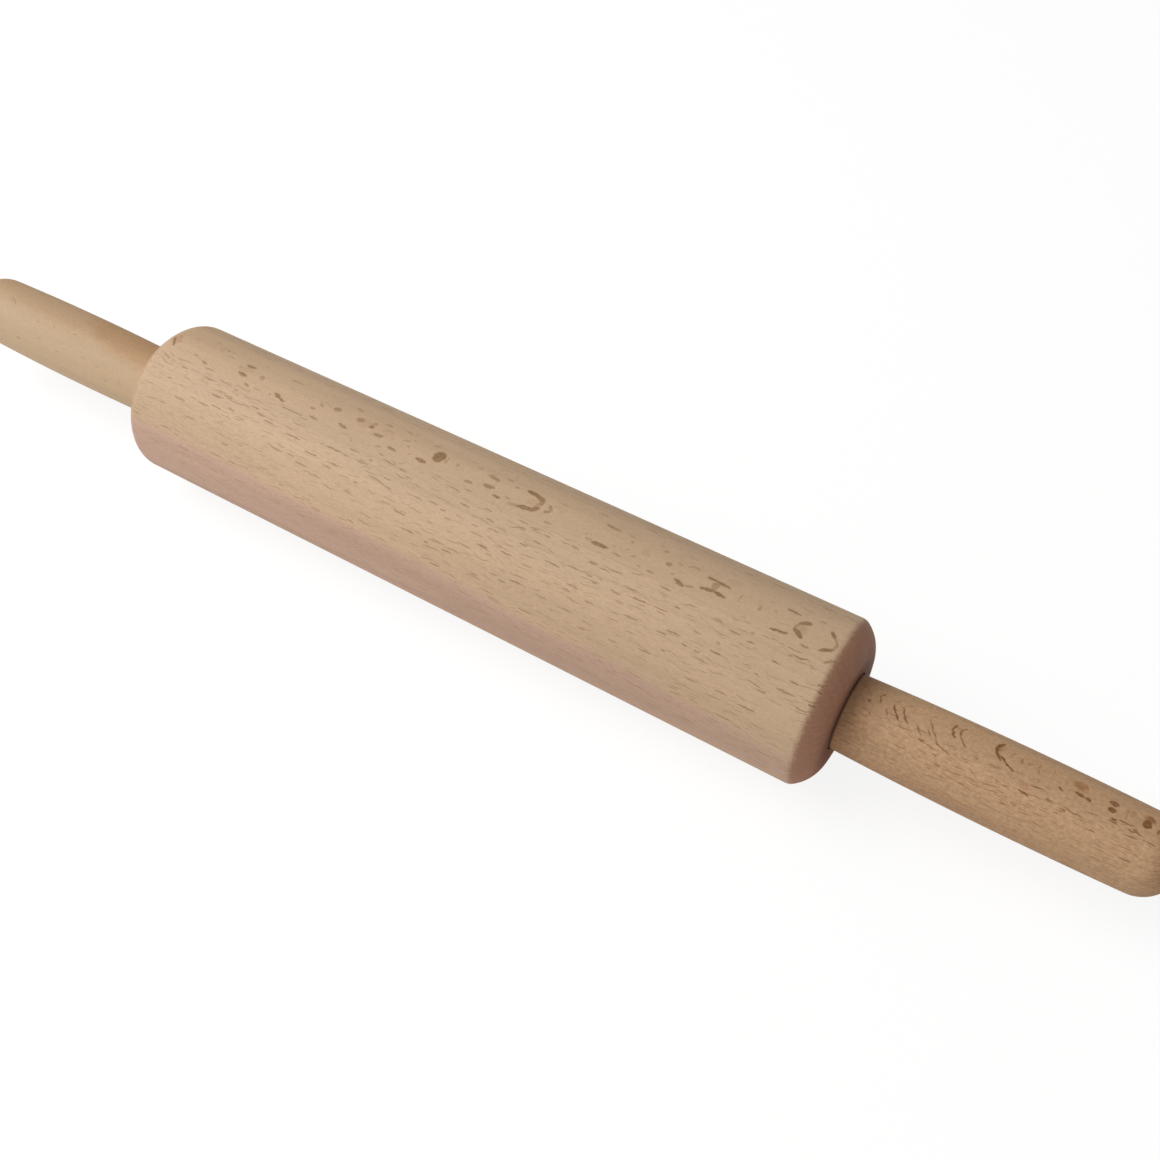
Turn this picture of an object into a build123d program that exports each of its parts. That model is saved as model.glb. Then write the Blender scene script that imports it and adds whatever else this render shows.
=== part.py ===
from build123d import *
import os

# Rolling pin with a beech barrel that turns on a fixed steel rod between two beech handles.
# Lengths are in millimetres. The origin is the middle of the barrel, on the axis it rolls about.
# +X runs along that axis to the right handle and +Z is up.

# Barrel
barrel_length = 250.0
barrel_radius = 25.5
shoulder_length = 5.8
shoulder_drop = 7.4
shoulder_curve_radius = 11.8
rim_edge_radius = 1.2
barrel_bore_radius = 5.5

# Recess in each end of the barrel, which the neck of the handle turns in
recess_depth = 3.0
recess_clearance = 0.5

# Rod that the barrel turns on
rod_radius = 4.0
rod_seat_depth = 36.0
rod_end_chamfer = 0.8
groove_count = 3
groove_width = 1.2
groove_depth = 0.4
groove_pitch = 8.0
first_groove_inset = 6.0

# Bush pressed into each end of the barrel
bush_radius = 7.0
bush_length = 18.0
flange_radius = 9.6
flange_thickness = 2.0
bush_lead_chamfer = 0.6
running_clearance = 0.05

# Thrust washer at the bottom of the recess, and the end float beside it
washer_radius = 9.0
washer_thickness = 1.0
washer_bore_clearance = 0.2
end_float = 0.2

# Handle
handle_length = 95.0
neck_radius = 11.3
belly_radius = 12.1
belly_distance = 51.0
shoulder_radius = 11.55
tip_length = 10.5
neck_edge_radius = 0.7
tip_fullness_share = 1.25
glue_space = 1.5

# Overrun for cuts
cut_overrun = 1.0

# Places along the axis
barrel_end = barrel_length / 2
straight_end = barrel_end - shoulder_length
recess_floor = barrel_end - recess_depth
recess_radius = neck_radius + recess_clearance
handle_start = recess_floor + end_float + washer_thickness
handle_end = handle_start + handle_length
rod_end = handle_start + rod_seat_depth

os.makedirs("parts", exist_ok=True)


def save(piece, name):
    piece.label = name
    export_step(piece, f"parts/{name}.step")


# Barrel: a cylinder with rounded shoulders, bored through, with a recess and a stepped pocket for the
# bush in each end
with BuildPart() as barrel:
    with BuildSketch(Plane.XY) as barrel_profile:
        with BuildLine():
            top = Line((-straight_end, barrel_radius), (straight_end, barrel_radius))
            right_shoulder = RadiusArc(
                top @ 1, (barrel_end, barrel_radius - shoulder_drop), shoulder_curve_radius
            )
            left_shoulder = RadiusArc(
                (-barrel_end, barrel_radius - shoulder_drop), top @ 0, shoulder_curve_radius
            )
            Polyline(right_shoulder @ 1, (barrel_end, 0), (-barrel_end, 0), left_shoulder @ 0)
        make_face()
        rims = barrel_profile.vertices().filter_by_position(
            Axis.Y, barrel_radius - shoulder_drop, barrel_radius
        )
        fillet(rims, rim_edge_radius)
    revolve(axis=Axis.X)
    with BuildSketch(Plane.XY) as bore_profile:
        with BuildLine():
            Polyline(
                (0, 0),
                (0, barrel_bore_radius),
                (recess_floor - bush_length, barrel_bore_radius),
                (recess_floor - bush_length, bush_radius),
                (recess_floor - flange_thickness, bush_radius),
                (recess_floor - flange_thickness, flange_radius),
                (recess_floor, flange_radius),
                (recess_floor, recess_radius),
                (barrel_end + cut_overrun, recess_radius),
                (barrel_end + cut_overrun, 0),
                close=True,
            )
        make_face()
        mirror(about=Plane.YZ)
    revolve(axis=Axis.X, mode=Mode.SUBTRACT)
save(barrel.part, "barrel")

# Rod: plain in the middle, with rings cut round each end to key the glue
with BuildPart() as axle_rod:
    with BuildSketch(Plane.YZ.offset(-rod_end)):
        Circle(rod_radius)
    extrude(amount=2 * rod_end)
    chamfer(axle_rod.edges().filter_by(GeomType.CIRCLE), rod_end_chamfer)
    with BuildSketch(Plane.XY):
        for index in range(groove_count):
            groove_place = rod_end - first_groove_inset - index * groove_pitch
            with Locations((groove_place, rod_radius), (-groove_place, rod_radius)):
                Rectangle(groove_width, 2 * groove_depth)
    revolve(axis=Axis.X, mode=Mode.SUBTRACT)
save(axle_rod.part, "axle_rod")

# Bush: a flanged sleeve whose flange lies flush with the floor of the recess
with BuildPart() as right_bush:
    with BuildSketch(Plane.YZ.offset(recess_floor - bush_length)):
        Circle(bush_radius)
    extrude(amount=bush_length)
    with BuildSketch(Plane.YZ.offset(recess_floor - flange_thickness)):
        Circle(flange_radius)
    extrude(amount=flange_thickness)
    chamfer(right_bush.faces().sort_by(Axis.X)[0].edges(), bush_lead_chamfer)
    with BuildSketch(Plane.YZ.offset(recess_floor)):
        Circle(rod_radius + running_clearance)
    extrude(amount=-bush_length, mode=Mode.SUBTRACT)
save(right_bush.part, "right_bush")

with BuildPart() as left_bush:
    mirror(right_bush.part, about=Plane.YZ)
save(left_bush.part, "left_bush")

# Washer: lies against the neck of the handle and runs on the flange of the bush
with BuildPart() as right_washer:
    with BuildSketch(Plane.YZ.offset(handle_start - washer_thickness)):
        Circle(washer_radius)
        Circle(rod_radius + washer_bore_clearance, mode=Mode.SUBTRACT)
    extrude(amount=washer_thickness)
save(right_washer.part, "right_washer")

with BuildPart() as left_washer:
    mirror(right_washer.part, about=Plane.YZ)
save(left_washer.part, "left_washer")

# Handle: its neck enters the recess, it swells, narrows to a full round tip and is bored blind for
# the rod
with BuildPart() as right_handle:
    with BuildSketch(Plane.XY) as handle_profile:
        with BuildLine():
            grip = ThreePointArc(
                (handle_start, neck_radius),
                (handle_start + belly_distance, belly_radius),
                (handle_end - tip_length, shoulder_radius),
            )
            tip = Spline(
                grip @ 1,
                (handle_end, 0),
                tangents=[grip % 1, (0, -1)],
                tangent_scalars=[tip_fullness_share, tip_fullness_share],
            )
            Polyline(tip @ 1, (handle_start, 0), grip @ 0)
        make_face()
        neck = handle_profile.vertices().group_by(Axis.X)[0].sort_by(Axis.Y)[-1]
        fillet(neck, neck_edge_radius)
    revolve(axis=Axis.X)
    with BuildSketch(Plane.YZ.offset(handle_start)):
        Circle(rod_radius)
    extrude(amount=rod_seat_depth + glue_space, mode=Mode.SUBTRACT)
save(right_handle.part, "right_handle")

with BuildPart() as left_handle:
    mirror(right_handle.part, about=Plane.YZ)
save(left_handle.part, "left_handle")
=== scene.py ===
import functools
import math

import bmesh
import bpy
from mathutils import Euler, Matrix, Vector


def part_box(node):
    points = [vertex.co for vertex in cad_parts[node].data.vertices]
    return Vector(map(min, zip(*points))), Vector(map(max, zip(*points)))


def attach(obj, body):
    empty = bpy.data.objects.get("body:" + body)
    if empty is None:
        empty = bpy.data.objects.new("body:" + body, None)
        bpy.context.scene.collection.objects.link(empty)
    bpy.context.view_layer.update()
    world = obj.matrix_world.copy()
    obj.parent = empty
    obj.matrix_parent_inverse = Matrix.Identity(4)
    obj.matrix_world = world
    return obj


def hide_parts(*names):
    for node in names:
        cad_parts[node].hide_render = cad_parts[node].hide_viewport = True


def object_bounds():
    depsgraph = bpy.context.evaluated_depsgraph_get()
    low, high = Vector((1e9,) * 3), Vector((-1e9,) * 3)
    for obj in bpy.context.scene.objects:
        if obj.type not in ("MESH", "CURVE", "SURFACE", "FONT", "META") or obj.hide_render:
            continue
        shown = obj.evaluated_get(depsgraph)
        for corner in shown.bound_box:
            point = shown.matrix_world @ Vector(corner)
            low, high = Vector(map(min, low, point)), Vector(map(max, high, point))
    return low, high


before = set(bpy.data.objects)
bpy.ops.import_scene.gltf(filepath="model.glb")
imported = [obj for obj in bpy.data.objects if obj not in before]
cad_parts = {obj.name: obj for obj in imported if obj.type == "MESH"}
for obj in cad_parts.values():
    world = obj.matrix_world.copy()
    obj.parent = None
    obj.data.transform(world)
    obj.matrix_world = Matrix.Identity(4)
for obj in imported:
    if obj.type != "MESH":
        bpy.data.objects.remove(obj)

bl_info = {
    "name": "Beech Rolling Pin",
    "version": (1, 0, 0),
    "blender": (4, 5, 0),
    "location": "3D View > Sidebar > Rolling Pin",
    "description": "Turns the beech of a rolling pin, finishes its fittings and sets up its stage",
    "category": "Object",
}

# Everything is in metres, in the frame of the solids: X is the axis the barrel rolls about,
# +X points to the right handle and +Z is up. "Angle" on a turned face is measured in degrees
# round X, from the top (0) over the front, -Y (90).
MM = 0.001
PER_MM = 1 / MM
FACETS = 256
SHOULDER_STEPS = 14
GRIP_STEPS = 40
TIP_STEPS = 16
SHARP_ANGLE = math.radians(25)
# Distances within which two places are one, and an edge lies on a rim
MIRROR_MERGE = 0.001 * MM
SAME_PLACE = 0.002 * MM
ON_RIM = 0.02 * MM

# Bores for the hidden fittings, as in the solids
BORE_RADIUS = 5.5 * MM
BUSH_RADIUS = 7.0 * MM
BUSH_LENGTH = 18.0 * MM
FLANGE_RADIUS = 9.6 * MM
FLANGE_THICKNESS = 2.0 * MM
ROD_RADIUS = 4.0 * MM
ROD_BORE_DEPTH = 37.5 * MM

SOLID_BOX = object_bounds()
BARREL_LOW, BARREL_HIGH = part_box("barrel")
HANDLE_LOW, HANDLE_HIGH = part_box("right_handle")


# Colours and nodes

def linear(code):
    """Linear colour of an sRGB hex code."""
    parts = (int(code[i:i + 2], 16) / 255 for i in (1, 3, 5))
    return tuple(c / 12.92 if c <= 0.04045 else ((c + 0.055) / 1.055) ** 2.4 for c in parts)


def add(tree, kind, sockets=(), **settings):
    """Adds one node with its settings, and fills its inputs with values or other nodes."""
    node = tree.nodes.new("ShaderNode" + kind)
    for name, value in settings.items():
        setattr(node, name, value)
    for key, value in dict(sockets).items():
        if isinstance(value, bpy.types.Node):
            value = next(out for out in value.outputs if out.enabled)
        if isinstance(value, bpy.types.NodeSocket):
            tree.links.new(value, node.inputs[key])
        else:
            node.inputs[key].default_value = value
    return node


def new_material(name):
    material = bpy.data.materials.new(name)
    material.use_nodes = True
    material.node_tree.nodes.clear()
    return material, functools.partial(add, material.node_tree)


def sums(node, kind):
    """A function that adds a math node of this kind from its operation and its inputs."""
    return lambda operation, *inputs: node(kind, enumerate(inputs), operation=operation)


# Settings

def size(name, description, default):
    return bpy.props.FloatProperty(
        name=name, description=description, default=default, min=0.0, unit="LENGTH", precision=5)


def colour(name, description, code):
    return bpy.props.FloatVectorProperty(
        name=name, description=description, default=linear(code), size=3, min=0.0, max=1.0,
        subtype="COLOR")


class BarrelSettings(bpy.types.PropertyGroup):
    """Sizes and colours of the barrel"""
    radius: size("Radius", "Radius of the barrel's rolling face", min(BARREL_HIGH.y, BARREL_HIGH.z))
    length: size("Length", "Length of the barrel over its end faces", 2 * BARREL_HIGH.x)
    shoulder_length: size("Shoulder Length", "How far a shoulder reaches along it", 5.8 * MM)
    shoulder_drop: size("Shoulder Drop", "How far a shoulder falls below the face", 7.4 * MM)
    shoulder_curve: size("Shoulder Curve", "Radius of the shoulder's round", 11.8 * MM)
    rim_edge: size("Rim Edge", "Width that the sanded rims are eased by", 0.8 * MM)
    recess_depth: size("Recess Depth", "Depth of the recess round a handle's neck", 3.0 * MM)
    recess_radius: size("Recess Radius", "Radius of the recess round a handle's neck", 11.8 * MM)
    wood: colour("Wood", "Colour of the sanded beech", "#D1B18F")
    # Painted light: this pinker colour is a tint laid on the barrel's lower front side for how the
    # light falls there
    lower_side_tint: colour("Heart", "Colour of the pinker wood under the bark side", "#CCA891")
    # The stain colour also darkens the broad patch of painted shade on the top back of the left end
    stain_and_shade: colour("Stain", "Colour of the wood that is redder round some flecks", "#C19A74")
    ray: colour("Rays", "Colour of the rays that show as dashes and flecks", "#8E693C")


class HandleSettings(bpy.types.PropertyGroup):
    """Sizes and colours of the two handles"""
    neck_radius: size("Neck Radius", "Radius of a handle where it meets its washer", 11.3 * MM)
    belly_radius: size("Belly Radius", "Radius of a handle at its thickest", 12.1 * MM)
    belly_distance: size("Belly Distance", "From the neck to the thickest place", 51.0 * MM)
    shoulder_radius: size("Shoulder Radius", "Radius where the round tip starts", 11.55 * MM)
    tip_length: size("Tip Length", "Length of the round tip", 10.5 * MM)
    neck_edge: size("Neck Edge", "Width that the neck's rim is eased by", 0.45 * MM)
    right_wood: colour("Right Wood", "Colour of the right handle's beech", "#C8A078")
    # Painted light: a redder tint laid on the right handle's lower front side for how the light
    # falls there
    right_lower_side_tint: colour("Right Heart", "Colour of the right handle's redder wood", "#B98C68")
    right_stain: colour("Right Stain", "Colour of the right handle's stains", "#AA784B")
    left_wood: colour("Left Wood", "Colour of the left handle's beech", "#C8AB88")
    # The left stain colour also darkens the broad patch of painted shade along the handle's top
    # back side
    left_stain_and_shade: colour("Left Stain", "Colour of the left handle's darker wood", "#B4824E")
    ray: colour("Rays", "Colour of the handles' rays", "#805022")


class FittingSettings(bpy.types.PropertyGroup):
    """Colours of the rod, bushes and washers"""
    steel: colour("Steel", "Colour of the drawn steel rod", "#C6C6C8")
    bush: colour("Bush", "Colour of the natural nylon bushes", "#DDD9CC")
    washer: colour("Washer", "Colour of the dark nylon washers", "#5A4434")


class StageSettings(bpy.types.PropertyGroup):
    """Floor and light"""
    floor: colour("Floor", "Colour of the floor", "#F7F6F5")
    key_power: bpy.props.FloatProperty(
        name="Key Light", description="Power of the large soft light at the upper left",
        default=10.0, min=0.0, unit="POWER")
    sky: bpy.props.FloatProperty(
        name="Sky", description="Strength of the even light from all round",
        default=0.36, min=0.0, max=1.0, subtype="FACTOR")


# Turned shapes

def run(bm, places):
    """Joins places on an outline, each (along X, distance from the axis), by straight edges."""
    vertices = [bm.verts.new((x, 0.0, r)) for x, r in places]
    for a, b in zip(vertices, vertices[1:]):
        bm.edges.new((a, b))
    return vertices


def arc(bm, start, centre, angle, steps):
    """Carries an outline on round an arc, and gives the arc's last vertex."""
    swept = bmesh.ops.spin(
        bm, geom=[start], cent=(centre[0], 0.0, centre[1]), axis=(0.0, 1.0, 0.0),
        angle=angle, steps=steps)
    return next(item for item in swept["geom_last"] if isinstance(item, bmesh.types.BMVert))


def turn(bm):
    """Spins an outline once round X into a closed shell with outward faces."""
    bmesh.ops.spin(
        bm, geom=bm.verts[:] + bm.edges[:], cent=(0.0, 0.0, 0.0), axis=(1.0, 0.0, 0.0),
        angle=2 * math.pi, steps=FACETS, use_merge=True)
    bmesh.ops.remove_doubles(bm, verts=bm.verts, dist=SAME_PLACE)
    bmesh.ops.recalc_face_normals(bm, faces=bm.faces)


def ease_rims(bm, rims, width):
    """Eases the rims, each (along X, distance from the axis), as sandpaper does."""
    loops = [
        edge for edge in bm.edges
        if any(all(abs(v.co.x - x) < ON_RIM and abs(math.hypot(v.co.y, v.co.z) - r) < ON_RIM
                   for v in edge.verts) for x, r in rims)]
    bmesh.ops.bevel(
        bm, geom=loops, offset=width, offset_type="OFFSET", segments=3, profile=0.5,
        affect="EDGES", material=-1)


def finish_piece(bm, name, material, body, node):
    """Makes the finished mesh an object that stands for a solid and rides on its body."""
    for face in bm.faces:
        face.smooth = True
    for edge in bm.edges:
        edge.smooth = edge.calc_face_angle(0.0) < SHARP_ANGLE
    mesh = bpy.data.meshes.new(name)
    bm.to_mesh(mesh)
    bm.free()
    piece = bpy.data.objects.new(name, mesh)
    bpy.context.scene.collection.objects.link(piece)
    mesh.materials.append(material)
    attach(piece, body)
    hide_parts(node)
    return piece


# Beech

# Flecks on the barrel, where the rays lie flat in the face: place along X in mm, angle,
# length along X and width in mm, turn in degrees (positive falls to the right) and depth of
# colour.
BARREL_FLECKS = (
    (-117.9, -7.2, 1.6, 1, 20, 0.35), (-116, -2.5, 1.2, 0.9, 0, 0.3),
    (-107.1, 3.1, 1.4, 1, 0, 0.45), (-106, -18, 2.2, 0.8, 30, 0.3),
    (-100.4, -14.7, 2.4, 1, 35, 0.35), (-97.9, -14.2, 1.5, 0.8, -10, 0.35),
    (-102.1, -11.9, 2.4, 0.6, 25, 0.35), (-88.3, -8.6, 3.8, 1.5, 0, 0.75),
    (-91.2, -3.9, 1.3, 1.5, 0, 0.3), (-88.3, 1.2, 4.1, 1.4, 8, 0.8),
    (-81.75, -3.2, 2, 1.7, 40, 0.5), (-84.4, -16, 1.4, 1.2, 0, 0.25),
    (-84, 8, 2.6, 0.9, 15, 0.65), (-79.8, 8, 2.8, 0.7, 0, 0.35),
    (-74.8, 7.3, 1.2, 0.7, 45, 0.4), (-71.2, -14.2, 5, 0.9, -4, 0.45),
    (-64.6, 11.8, 8, 0.6, 0, 0.6), (-90.8, 13.6, 6.5, 0.5, 5, 0.5),
    (-85.8, 15.1, 1.8, 0.6, 0, 0.5), (-115.6, 13.6, 3.5, 0.5, 12, 0.5),
    (-107, 16.2, 3, 0.7, 0, 0.5), (-98.5, 18, 2, 0.6, 6, 0.4),
    (-52.2, -5.6, 2.6, 2.1, 0, 0.6), (-57.6, -3.2, 2, 0.9, 40, 0.45),
    (-59.1, 2.6, 2, 0.9, 0, 0.65), (-56.6, 9.5, 3.6, 0.9, 0, 0.65),
    (-61.2, 11.6, 1.6, 0.6, 0, 0.45), (-57, -16.8, 3, 0.8, 0, 0.25),
    (-46.6, -14.9, 3, 1.2, 15, 0.4), (-43.2, -5.8, 2.6, 2.1, 0, 0.55),
    (-46.4, 5.5, 3.8, 1.1, 8, 0.75), (-38.3, -8.3, 1.6, 1.4, 0, 0.4),
    (-38.5, -3.9, 1.9, 1.5, 0, 0.75), (-34.7, -12.5, 3.2, 1.2, 0, 0.35),
    (-34.5, 0.3, 3.8, 1.3, -8, 0.65), (-36.6, 2.2, 0.9, 0.7, 0, 0.35),
    (-32, 8.6, 2.4, 0.7, -8, 0.45), (-27.6, 5.9, 3.6, 1, 5, 0.7),
    (-27.4, -14.7, 3, 0.9, 12, 0.35), (-25.8, -5.8, 2.6, 0.9, -15, 0.4),
    (-23.7, -2, 1, 0.7, 0, 0.5), (-23.7, -9.5, 1.2, 0.6, 40, 0.3),
    (-30, -2.5, 0.9, 0.7, 0, 0.3), (-17.2, 4.5, 4, 1.3, 4, 0.85),
    (-21.7, 3.6, 0.9, 0.8, 0, 0.3), (-16.8, -13.3, 2.6, 0.7, -12, 0.4),
    (-13.3, -5, 3.9, 5, 0, 0.9), (-10.5, -4.8, 0.9, 2.8, 0, 0.35),
    (-6.7, -4.8, 0.9, 1.8, 0, 0.4), (-0.1, 4.1, 3, 1.1, -4, 0.55),
    (-0.1, -11.1, 2.2, 0.8, 0, 0.3), (-2.4, 13.2, 5.4, 0.6, 3, 0.6),
    (-9.3, 9.9, 2.4, 0.5, 0, 0.4), (1.8, 9.8, 2.5, 0.6, 0, 0.5),
    (-37, 18.6, 3, 0.6, 3, 0.5), (-20.1, 16.7, 3, 0.6, 5, 0.55),
    (-29.3, 13.4, 1.6, 0.5, 0, 0.4), (-24.4, 14.2, 2.4, 0.5, 20, 0.4),
    (5.7, -8.1, 4.4, 1.4, 8, 0.55), (6.3, 0.5, 4, 1.5, -4, 0.7),
    (7.4, -3.9, 0.8, 2.2, 0, 0.25), (10.4, 5.5, 2.8, 0.9, 0, 0.8),
    (13.5, 2.5, 2, 0.8, 8, 0.4), (13.6, -9.2, 1.5, 1, 0, 0.45),
    (10.1, -12.8, 3, 1, 0, 0.35), (28.6, -12.8, 2.6, 0.8, 0, 0.35),
    (28.6, 7.1, 2.4, 0.8, 0, 0.5), (40.3, -21.2, 3.2, 1.3, 0, 0.3),
    (40.3, 2.2, 0.9, 0.8, 0, 0.3), (45.7, -12.3, 5.4, 1.1, 4, 0.6),
    (51.7, -12, 2.6, 0.8, 6, 0.35), (45.7, 5.9, 5.6, 1.4, -2, 0.85),
    (41.8, 5.2, 2.6, 0.8, 0, 0.4), (51.7, 6.9, 3.2, 0.6, 0, 0.5),
    (53.2, -7.2, 1.3, 0.7, 60, 0.4), (53.3, 0.3, 1, 0.8, 0, 0.3),
    (49.5, 2.4, 0.9, 0.8, 0, 0.25), (55.9, 2.9, 2, 0.7, -15, 0.35),
    (58.6, -3.9, 2.8, 2.8, 0, 0.14), (59, 8, 1.6, 0.7, 0, 0.35),
    (26.3, 14.8, 3.6, 0.6, -6, 0.55), (30.9, 16, 2.4, 0.7, 0, 0.5),
    (23, 17.9, 3, 0.5, 0, 0.4), (10.9, 16.5, 3, 0.6, 0, 0.5),
    (40.1, 15, 3, 0.7, 0, 0.5), (36.7, 12.3, 2.2, 0.5, 0, 0.35),
    (54.2, 17.9, 3.8, 0.6, -3, 0.5), (47.2, 19, 3, 0.6, 0, 0.5),
    (66, -3, 1.9, 1.6, 0, 0.6), (63, -12.5, 1.6, 1.1, 0, 0.45),
    (61.2, -16, 2, 0.7, 15, 0.3), (68.7, -7.2, 1.8, 0.7, 20, 0.4),
    (70, -17.5, 3, 0.9, 0, 0.25), (62.7, 8.3, 2.2, 0.8, 0, 0.55),
    (68.5, 2.7, 1.6, 0.6, -20, 0.35), (69, 14.1, 3.8, 0.6, 0, 0.6),
    (80.8, -2.6, 2.2, 3.4, 0, 0.5), (88.5, -2.5, 0.8, 3, 0, 0.25),
    (94.7, -1.1, 0.8, 2, 0, 0.5), (98.8, -4.8, 1, 0.8, 0, 0.3),
    (96.5, -10.5, 1.3, 0.8, 0, 0.25), (103.1, -10.5, 4.4, 1, 3, 0.75),
    (110.4, 10.2, 2.8, 0.8, 0, 0.65), (111.2, -12.8, 2.4, 0.8, 0, 0.35),
    (105.8, -17.5, 3.5, 0.7, 4, 0.3), (108.5, 19, 1.6, 0.7, 0, 0.5),
    (105, 14.8, 2.4, 0.5, 0, 0.4), (96.5, 16.3, 1.5, 0.6, 0, 0.5),
    (90.4, 13.3, 2.2, 0.5, 0, 0.35), (86.3, 17.4, 1.6, 0.6, 0, 0.35),
    (92.3, 9.7, 1.6, 0.6, 10, 0.3),
)

# Flecks with a bent line: width in mm, depth of colour, then (place along X, angle) by turns.
BARREL_STROKES = (
    (0.9, 0.8, (-118.7, -3.4), (-117, 3)),
    (0.9, 0.6, (-103.4, 5.4), (-101.4, 6.4)),
    (0.7, 0.45, (-100.8, 9.4), (-97.4, 8.8)),
    (1.4, 0.85, (-73.4, 4.6), (-71.4, 6)),
    (1, 0.8, (-71.4, 6.2), (-69.2, 7.6)),
    (1.7, 0.85, (17.4, -10.6), (20.6, -9.8)),
    (1.9, 0.75, (20.6, -9.6), (22.9, -7.8)),
    (1.5, 0.6, (22.8, -7.4), (23.2, -4.4)),
    (1.1, 0.4, (22.7, -4), (22.6, -0.6)),
    (1.7, 0.8, (23, 0.2), (22.6, 2.6)),
    (1.6, 0.85, (22.8, 2.8), (17.6, 4.9)),
    (1, 0.4, (18, 5.2), (14.8, 5.8)),
    (1.2, 0.6, (26, -5.6), (26.8, -3.4)),
    (0.8, 0.4, (26.8, -3.2), (26.6, -1.4)),
    (1.1, 0.6, (26.6, -0.6), (25.8, 0.6)),
    (0.8, 0.4, (71.2, -8), (72.4, -10.4), (74.2, -9.4)),
    (1.4, 0.75, (70.4, 5.6), (72.6, 7.2)),
    (0.8, 0.45, (73, 7), (75.4, 5.6)),
    (1.1, 0.85, (77.7, -6.8), (80.6, -7.2)),
    (1.1, 0.8, (80.6, -6.8), (84.2, -6)),
    (1.3, 0.85, (77.8, 3.2), (81, 1.4)),
    (1.3, 0.85, (81, 1.6), (84.3, 2.6)),
    (1.5, 0.8, (108.5, -6.7), (106.7, -4.6)),
    (0.9, 0.55, (106.6, -4.6), (105.6, -0.6), (106, 2.4)),
    (1.5, 0.85, (105.9, 2.2), (108.2, 5.2)),
    (0.9, 0.85, (100.2, 8.6), (102, 8), (104.4, 7.3)),
    (1.3, 0.8, (115, -7.6), (116.2, -4.6)),
    (0.9, 0.5, (116.4, -4.4), (117.8, -0.6), (117.6, 3)),
    (1.2, 0.85, (117.4, 4.4), (114.4, 8)),
    (0.7, 0.6, (119.4, 10.2), (117, 14.4)),
)

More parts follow.
